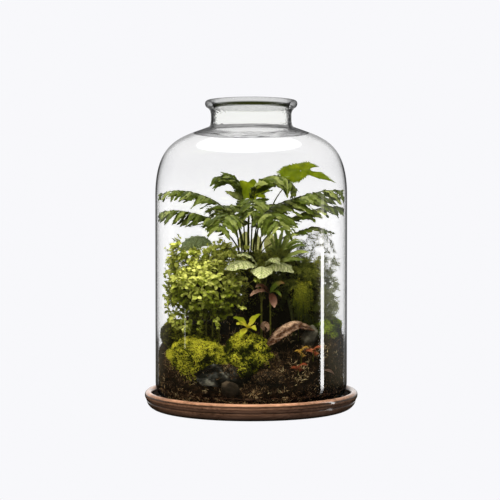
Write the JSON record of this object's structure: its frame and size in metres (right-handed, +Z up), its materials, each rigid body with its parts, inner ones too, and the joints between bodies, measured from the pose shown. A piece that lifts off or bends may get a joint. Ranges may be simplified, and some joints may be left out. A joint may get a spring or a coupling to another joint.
{
  "type": "glass plant terrarium",
  "caption": "Wide-necked glass jar in a turned wooden tray, planted with a fern, small-leaved and feathery plants, moss and stones on a dark soil bank.",
  "frame": {"origin": "centre of the tray's underside, on the jar's axis", "axes": "+Z up along the jar's axis, +X to the right and +Y to the back as seen from the front"},
  "size_m": [0.267, 0.267, 0.388],
  "materials": {
    "wood": "dark reddish-brown turned wood with a satin wax finish, dark growth lines round the rim",
    "glass": "clear colourless glass, 3 mm wall, smooth, with darker edges where the wall is seen end on",
    "soil": "dark brown peat and bark soil with dry tan root and moss fibres",
    "bark": "near-black damp bark with deep uneven furrows",
    "dark_stone": "dark blue-grey slate-like stone, fine grain, chipped edges",
    "brown_stone": "brown-grey smooth pebble with dust",
    "grey_stone": "warm grey rough stone with pale specks",
    "moss": "yellow-green cushion moss, fine pile",
    "dark_moss": "dark olive moss mixed with soil",
    "fern_leaf": "mid green fern leaflets, slightly glossy, darker stalks",
    "bright_leaf": "bright green translucent lobed leaf with dark veins",
    "bush_leaf": "small yellow-green leaves, darker towards the inside",
    "mottled_leaf": "pale grey-green leaf mottled with darker green between its veins",
    "rough_leaf": "dark grey-green leaf with a rough netted surface",
    "strap_leaf": "narrow mid-green leaves with a pale midrib",
    "red_leaf": "red-brown leaf, paler pink towards the tip",
    "yellow_leaf": "yellow-green leaf with a brighter middle",
    "dry_leaf": "dry brown leaf, papery, with raised veins and a pale sheen",
    "feather_leaf": "dark green feathery needles",
    "tuft_leaf": "bright yellow-green fine hanging needles"
  },
  "bodies": {
    "root": {"brown_curl": "dry_leaf", "bush": "bush_leaf", "dome_leaf": "rough_leaf", "dried_leaf": "dry_leaf", "feather_arch": "feather_leaf", "feather_body": "feather_leaf", "feather_low": "feather_leaf", "feather_side": "feather_leaf", "fern_frond_back_left": "fern_leaf", "fern_frond_back_right": "fern_leaf", "fern_frond_centre": "fern_leaf", "fern_frond_front_left": "fern_leaf", "fern_frond_front_right": "fern_leaf", "fern_frond_lower_left": "fern_leaf", "fern_frond_lower_right": "fern_leaf", "fern_frond_short_right": "fern_leaf", "fern_frond_tall_left": "fern_leaf", "fern_frond_tall_right": "fern_leaf", "fern_frond_upper_left": "fern_leaf", "fern_frond_upper_right": "fern_leaf", "hanging_tuft": "tuft_leaf", "jar": "glass", "lobed_leaf": "bright_leaf", "maple_leaf": "bright_leaf", "moss_back_left": "dark_moss", "moss_centre": "moss", "moss_left": "moss", "moss_ridge": "dark_moss", "moss_right": "moss", "moss_tuft": "moss", "mottled_plant": "mottled_leaf", "pale_leaves": "mottled_leaf", "pebble": "brown_stone", "red_rosette": "red_leaf", "rock_back": "grey_stone", "rock_large": "dark_stone", "rock_right": "dark_stone", "seedling_brown": "dry_leaf", "seedling_red": "red_leaf", "seedling_yellow": "yellow_leaf", "soil": "soil", "strap_plant": "strap_leaf", "stump": "bark", "tray": "wood", "yellow_plant": "yellow_leaf"}
  },
  "joints": []
}
